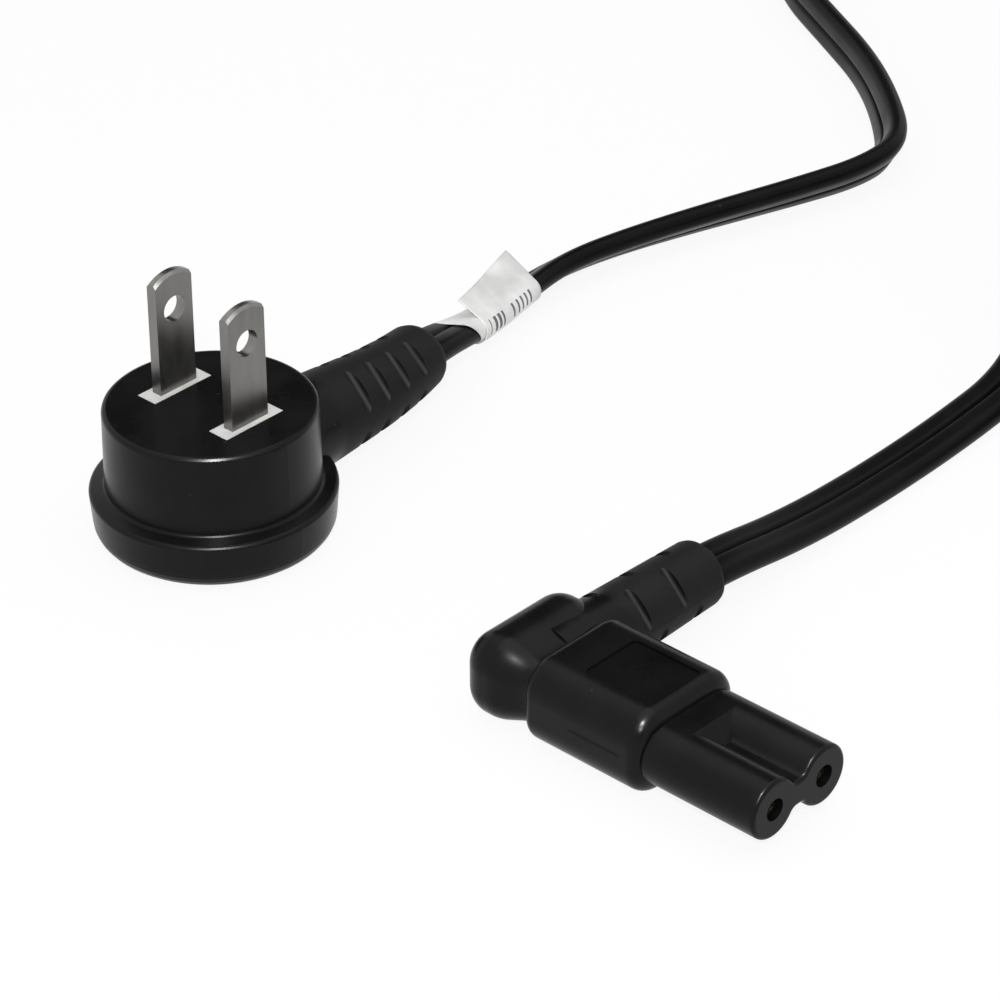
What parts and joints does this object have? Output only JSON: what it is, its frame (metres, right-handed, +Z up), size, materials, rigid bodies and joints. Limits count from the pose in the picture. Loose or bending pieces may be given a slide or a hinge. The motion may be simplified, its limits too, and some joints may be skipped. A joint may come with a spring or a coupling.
{
  "type": "right-angled figure-eight power cord",
  "caption": "Black mains cord with a right-angled figure-eight appliance connector, a flat twin cord and a round flat-blade wall plug.",
  "frame": {"origin": "near the middle of the flat underside of the connector's block, 8.4 mm behind its front face, on the surface that everything lies on", "axes": "+X along the nose towards the inlet, +Y along the cord where it leaves the connector, +Z up, square to the connector's flat side"},
  "size_m": [0.1818, 0.2348, 0.0343],
  "materials": {
    "moulding": "black soft PVC moulding, faint satin sheen",
    "insert": "black hard thermoplastic, semi-gloss",
    "sheath": "black PVC sheath of a flat twin cord, satin",
    "bridge": "white hard plastic, matt",
    "blade": "nickel-plated brass, bright with fine stamping marks",
    "contact": "plain brass strip, rolled",
    "copper": "bare stranded copper",
    "core_light": "white PVC core insulation",
    "core_dark": "black PVC core insulation",
    "label": "white printed label film, matt"
  },
  "bodies": {
    "root": {"connector_overmould": "moulding", "connector_insert": "insert", "connector_contact_left": "contact", "connector_contact_right": "contact", "connector_lead_left": "core_dark", "connector_lead_right": "core_light", "connector_strands_left": "copper", "connector_strands_right": "copper", "cord_run_connector": "sheath", "cord_coil": "sheath", "cord_run_plug": "sheath", "cord_tag": "label", "plug_overmould": "moulding", "plug_bridge": "bridge", "plug_blade_left": "blade", "plug_blade_right": "blade", "plug_lead_left": "core_light", "plug_lead_right": "core_dark", "plug_strands_left": "copper", "plug_strands_right": "copper"}
  },
  "joints": []
}
